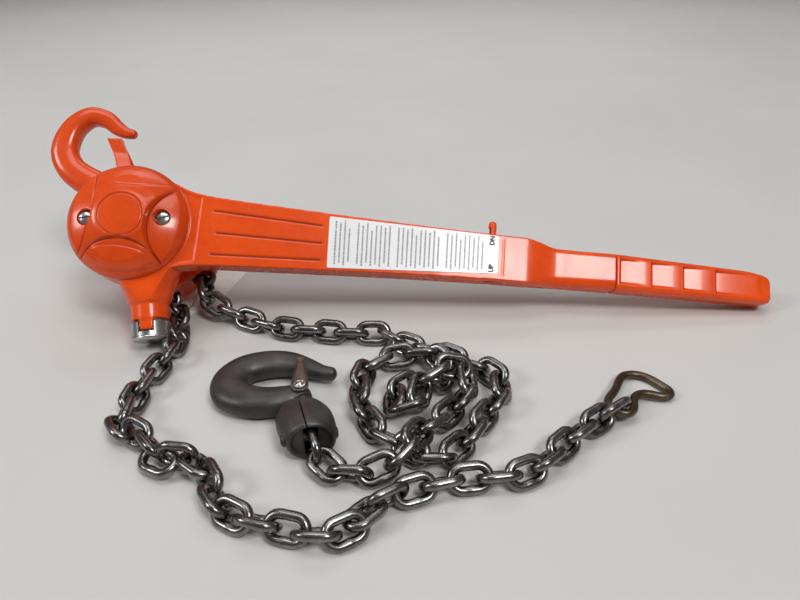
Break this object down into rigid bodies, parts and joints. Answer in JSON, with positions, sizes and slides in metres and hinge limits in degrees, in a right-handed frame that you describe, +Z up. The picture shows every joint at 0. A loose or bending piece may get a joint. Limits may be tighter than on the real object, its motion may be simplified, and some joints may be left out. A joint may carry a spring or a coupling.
{
  "type": "come along winch",
  "caption": "Ratchet lever chain puller with a long painted lever, enclosed ratchet head, hooks with latches and a loose load chain ending in a pear shaped loop.",
  "frame": {"origin": "middle of the footprint of the tool itself (without its free chain), on the surface that it stands on", "axes": "+Z up; +X along the footprint's long side, from the hook end towards the grip; -Y towards the side on which the chain lies and the front cover faces"},
  "size_m": [0.6528, 0.3856, 0.1593],
  "materials": {
    "orange_paint": "gloss orange enamel over cast and forged steel",
    "zinc_plate": "bright zinc plated",
    "chain_steel": "polished dark gunmetal",
    "forged_black": "matte dark grey oxide on forged steel",
    "bare_steel": "machined steel with a film of oil",
    "latch_steel": "brownish plated steel",
    "bronze_bush": "sintered bronze",
    "brake_lining": "resin bonded friction lining",
    "spring_wire": "drawn spring wire",
    "tag_paper": "blank coated paper",
    "label_film": "satin white label film"
  },
  "bodies": {
    "frame": {"frame_front_plate": "orange_paint", "frame_rear_plate": "orange_paint", "frame_bush_front": "bronze_bush", "frame_bush_rear": "bronze_bush", "chain_guide": "orange_paint", "hook_pin": "zinc_plate", "brake_cover": "orange_paint", "brake_cover_screw_1": "zinc_plate", "brake_cover_screw_2": "zinc_plate", "brake_cover_screw_3": "zinc_plate", "holding_pawl_stud": "bare_steel", "holding_pawl_spring": "spring_wire", "chain_link_1": "chain_steel", "chain_link_2": "chain_steel", "chain_link_3": "chain_steel", "chain_link_4": "chain_steel", "chain_link_5": "chain_steel", "load_strand": "chain_steel", "tail_strand": "chain_steel", "chain_pile": "chain_steel", "end_loop": "chain_steel", "block_half_left": "forged_black", "block_half_right": "forged_black", "block_bolt": "bare_steel", "hang_tag": "tag_paper", "tag_wire": "bare_steel"},
    "lever": {"lever_casting": "orange_paint", "grip_sleeve": "orange_paint", "front_cover": "orange_paint", "cover_screw_right": "zinc_plate", "cover_screw_left": "zinc_plate", "label_plate": "label_film", "lever_bush": "bronze_bush", "pawl_pin": "bare_steel", "plunger_spring": "spring_wire", "plunger_retainer": "zinc_plate"},
    "plunger": {"plunger_cap": "zinc_plate", "lock_plunger": "bare_steel"},
    "selector": {"selector_pin": "orange_paint"},
    "rod": {"selector_rod": "bare_steel"},
    "drive_pawl": {"drive_pawl": "bare_steel"},
    "drive": {"drive_shaft": "bare_steel", "drive_gear": "bare_steel", "shaft_nut": "zinc_plate", "brake_hub": "bare_steel", "friction_disc_inner": "brake_lining", "ratchet_disc": "bare_steel", "friction_disc_outer": "brake_lining", "brake_nut": "bare_steel", "lift_wheel": "forged_black"},
    "holding_pawl": {"holding_pawl": "bare_steel"},
    "upper_hook": {"upper_hook": "orange_paint", "upper_latch_pin": "zinc_plate"},
    "upper_latch": {"upper_latch": "orange_paint"},
    "lower_hook": {"lower_hook": "forged_black", "lower_latch_rivet": "bare_steel"},
    "lower_latch": {"lower_latch": "latch_steel"}
  },
  "joints": [
    {"name": "lever_swing", "type": "hinge", "parent": "frame", "child": "lever", "pos_m": [-0.2308, -0.03125, 0.0945], "axis": [0.0731, -0.7242, 0.6857], "continuous": true, "deforming": ["load_strand", "tail_strand"]},
    {"name": "drive_spin", "type": "hinge", "parent": "frame", "child": "drive", "pos_m": [-0.2308, -0.03125, 0.0945], "axis": [0.0731, -0.7242, 0.6857], "continuous": true, "deforming": ["chain_link_1", "chain_link_2", "chain_link_3", "chain_link_4", "chain_link_5", "load_strand", "tail_strand"]},
    {"name": "plunger_pull", "type": "slide", "parent": "lever", "child": "plunger", "axis": [0.1066, -0.678, -0.7273], "range_m": [0, 0.0045], "stiffness_N_per_m": 900, "springref_m": -0.006, "deforming": ["plunger_spring"]},
    {"name": "selector_shift", "type": "slide", "parent": "lever", "child": "selector", "axis": [-0.095, -0.6895, -0.718], "range_m": [0, 0.012]},
    {"name": "rod_shift", "type": "slide", "parent": "lever", "child": "rod", "axis": [0.9928, -0.0127, -0.1192], "range_m": [-0.0032, 0.0004]},
    {"name": "pawl_rock", "type": "hinge", "parent": "lever", "child": "drive_pawl", "pos_m": [-0.20239, -0.00098, 0.09719], "axis": [0.0731, -0.7242, 0.6857], "range_deg": [-18, 2]},
    {"name": "holding_pawl_rock", "type": "hinge", "parent": "frame", "child": "holding_pawl", "pos_m": [-0.20949, 0.04435, 0.05394], "axis": [0.0731, -0.7242, 0.6857], "range_deg": [-12, 0], "stiffness_Nm_per_rad": 0.01, "springref_deg": 34.38, "deforming": ["holding_pawl_spring"]},
    {"name": "upper_hook_tilt", "type": "hinge", "parent": "frame", "child": "upper_hook", "pos_m": [-0.27016, 0.03428, 0.09193], "axis": [0.0731, -0.7242, 0.6857], "range_deg": [-30, 60]},
    {"name": "upper_latch_swing", "type": "hinge", "parent": "upper_hook", "child": "upper_latch", "pos_m": [-0.25848, 0.04615, 0.10322], "axis": [0.0731, -0.7242, 0.6857], "range_deg": [0, 35], "stiffness_Nm_per_rad": 0.05, "springref_deg": -28.65},
    {"name": "lower_hook_swivel", "type": "hinge", "parent": "frame", "child": "lower_hook", "pos_m": [-0.07543, -0.17338, 0.0115], "axis": [-0.203, 0.9792, 0], "range_deg": [0, 90]},
    {"name": "lower_latch_swing", "type": "hinge", "parent": "lower_hook", "child": "lower_latch", "pos_m": [-0.07923, -0.15858, 0.021], "axis": [0, 0, 1], "range_deg": [0, 40], "stiffness_Nm_per_rad": 0.03, "springref_deg": -22.92}
  ],
  "couplings": [
    {"joint": "rod_shift", "follows": "selector_shift", "ratio": -0.25},
    {"joint": "pawl_rock", "follows": "selector_shift", "rad_per_m": -23.8}
  ]
}
